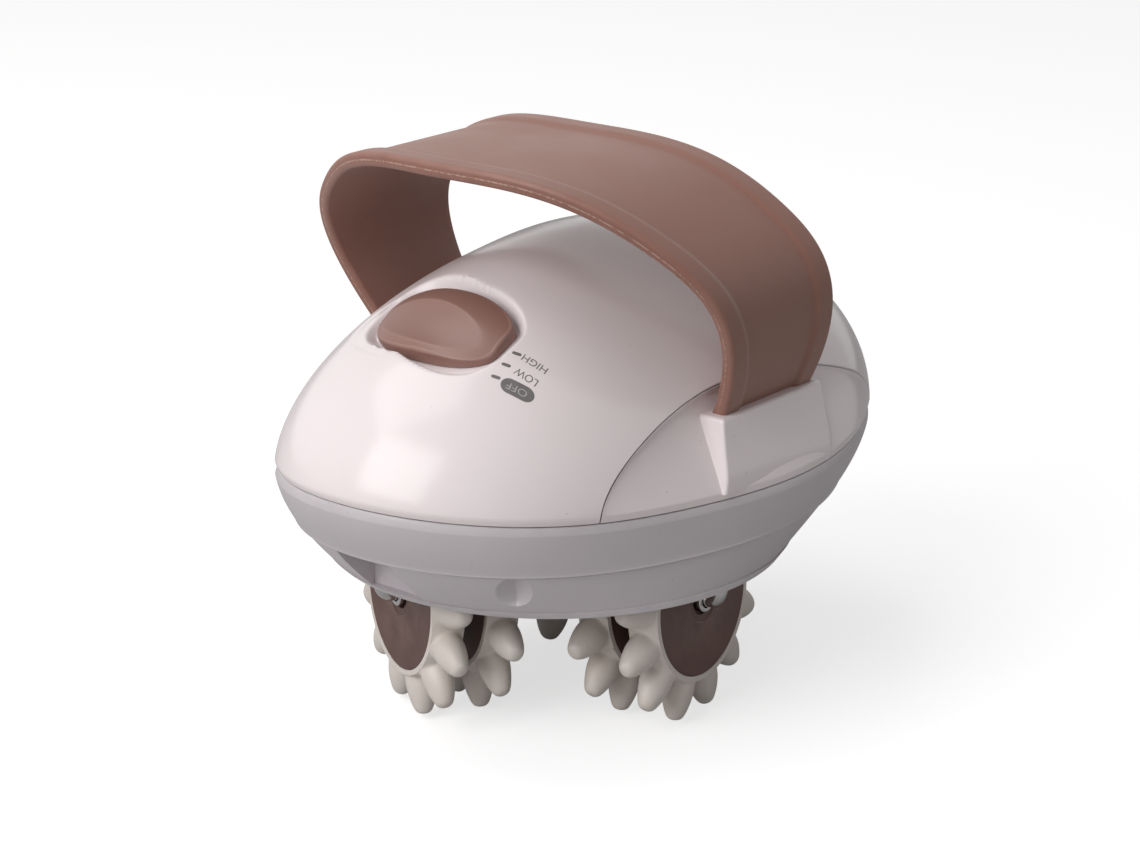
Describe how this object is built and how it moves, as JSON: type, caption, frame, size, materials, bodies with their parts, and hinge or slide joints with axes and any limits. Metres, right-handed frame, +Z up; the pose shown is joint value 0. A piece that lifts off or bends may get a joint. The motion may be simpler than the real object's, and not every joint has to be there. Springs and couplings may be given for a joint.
{
  "type": "electric massage roller",
  "caption": "Egg-shaped hand-held massager with a strap for the hand, a rotary switch knob and a powered rotor of free-turning finger wheels below.",
  "frame": {"origin": "middle of the object's outline on the plane that its lowest finger tips stand on", "axes": "+Z up, +Y to the tail where the lead enters, -Y to the nose with the knob, +X to the right side panel"},
  "size_m": [0.123, 0.1603, 0.1369],
  "materials": {
    "shell_gloss": "polished warm white moulding",
    "shell_satin": "satin greyish white moulding",
    "strap_rubber": "matte brown soft rubber",
    "knob_brown": "matte brown moulding",
    "hub_brown": "matte dark brown moulding",
    "tyre_cream": "soft cream silicone",
    "rod_chrome": "bright plated steel",
    "steel": "plain steel",
    "nylon": "natural nylon",
    "dark_plastic": "black moulding",
    "gland_rubber": "black rubber",
    "board": "green lacquer",
    "bronze": "sintered bronze"
  },
  "bodies": {
    "housing": {"upper_shell": "shell_gloss", "side_panel_left": "shell_gloss", "side_panel_right": "shell_gloss", "lower_shell": "shell_satin", "skirt_ring": "shell_satin", "handle_strap": "strap_rubber", "strap_pin_left_front": "steel", "strap_pin_left_rear": "steel", "strap_pin_right_front": "steel", "strap_pin_right_rear": "steel", "housing_screw_1": "steel", "housing_screw_2": "steel", "housing_screw_3": "steel", "housing_screw_4": "steel", "rotary_switch": "dark_plastic", "circuit_board": "board", "cord_gland": "gland_rubber", "gearbox_plate": "dark_plastic", "gearbox_screw_1": "steel", "gearbox_screw_2": "steel", "gearbox_screw_3": "steel", "motor_can": "steel", "idler_pin": "steel", "rotor_bush": "bronze"},
    "switch_knob": {"knob": "knob_brown", "knob_stem": "nylon"},
    "idler": {"idler_gear": "nylon"},
    "motor_rotor": {"motor_shaft": "steel", "motor_pinion": "bronze"},
    "rotor": {"rotor_shaft": "steel", "output_gear": "nylon", "shaft_clip": "steel", "rotor_plate": "shell_satin", "axle_rod_1": "rod_chrome", "axle_rod_2": "rod_chrome", "axle_rod_3": "rod_chrome", "washer_outer_1": "rod_chrome", "washer_outer_2": "rod_chrome", "washer_outer_3": "rod_chrome", "spacer_1": "rod_chrome", "spacer_2": "rod_chrome", "spacer_3": "rod_chrome", "washer_inner_1": "rod_chrome", "washer_inner_2": "rod_chrome", "washer_inner_3": "rod_chrome"},
    "wheel_outer_1": {"hub_outer_1": "hub_brown", "tyre_outer_1": "tyre_cream"},
    "wheel_outer_2": {"hub_outer_2": "hub_brown", "tyre_outer_2": "tyre_cream"},
    "wheel_outer_3": {"hub_outer_3": "hub_brown", "tyre_outer_3": "tyre_cream"},
    "wheel_inner_1": {"hub_inner_1": "hub_brown", "tyre_inner_1": "tyre_cream"},
    "wheel_inner_2": {"hub_inner_2": "hub_brown", "tyre_inner_2": "tyre_cream"},
    "wheel_inner_3": {"hub_inner_3": "hub_brown", "tyre_inner_3": "tyre_cream"}
  },
  "joints": [
    {"name": "rotor_spin", "type": "hinge", "parent": "housing", "child": "rotor", "pos_m": [0, -0.00465, 0.0627], "axis": [0, 0, 1], "continuous": true},
    {"name": "wheel_outer_1_spin", "type": "hinge", "parent": "rotor", "child": "wheel_outer_1", "pos_m": [0.04125, -0.0006, 0.0305], "axis": [0.994, 0.0975, 0.0501], "continuous": true},
    {"name": "wheel_outer_2_spin", "type": "hinge", "parent": "rotor", "child": "wheel_outer_2", "pos_m": [-0.02413, 0.02905, 0.0305], "axis": [-0.5814, 0.8121, 0.0501], "continuous": true},
    {"name": "wheel_outer_3_spin", "type": "hinge", "parent": "rotor", "child": "wheel_outer_3", "pos_m": [-0.01712, -0.0424, 0.0305], "axis": [-0.4126, -0.9095, 0.0501], "continuous": true},
    {"name": "wheel_inner_1_spin", "type": "hinge", "parent": "rotor", "child": "wheel_inner_1", "pos_m": [0.02758, -0.00194, 0.02981], "axis": [0.994, 0.0975, 0.0501], "continuous": true},
    {"name": "wheel_inner_2_spin", "type": "hinge", "parent": "rotor", "child": "wheel_inner_2", "pos_m": [-0.01613, 0.01789, 0.02981], "axis": [-0.5814, 0.8121, 0.0501], "continuous": true},
    {"name": "wheel_inner_3_spin", "type": "hinge", "parent": "rotor", "child": "wheel_inner_3", "pos_m": [-0.01145, -0.02989, 0.02981], "axis": [-0.4126, -0.9095, 0.0501], "continuous": true},
    {"name": "knob_turn", "type": "hinge", "parent": "housing", "child": "switch_knob", "pos_m": [0, -0.04205, 0.0994], "axis": [0, -0.4003, 0.9164], "range_deg": [-20, 0]},
    {"name": "idler_spin", "type": "hinge", "parent": "housing", "child": "idler", "pos_m": [0, 0.02035, 0.075], "axis": [0, 0, 1], "continuous": true},
    {"name": "motor_spin", "type": "hinge", "parent": "housing", "child": "motor_rotor", "pos_m": [0, 0.00435, 0.085], "axis": [0, 0, 1], "continuous": true}
  ],
  "couplings": [
    {"joint": "idler_spin", "follows": "rotor_spin", "ratio": -4},
    {"joint": "motor_spin", "follows": "rotor_spin", "ratio": 12}
  ]
}
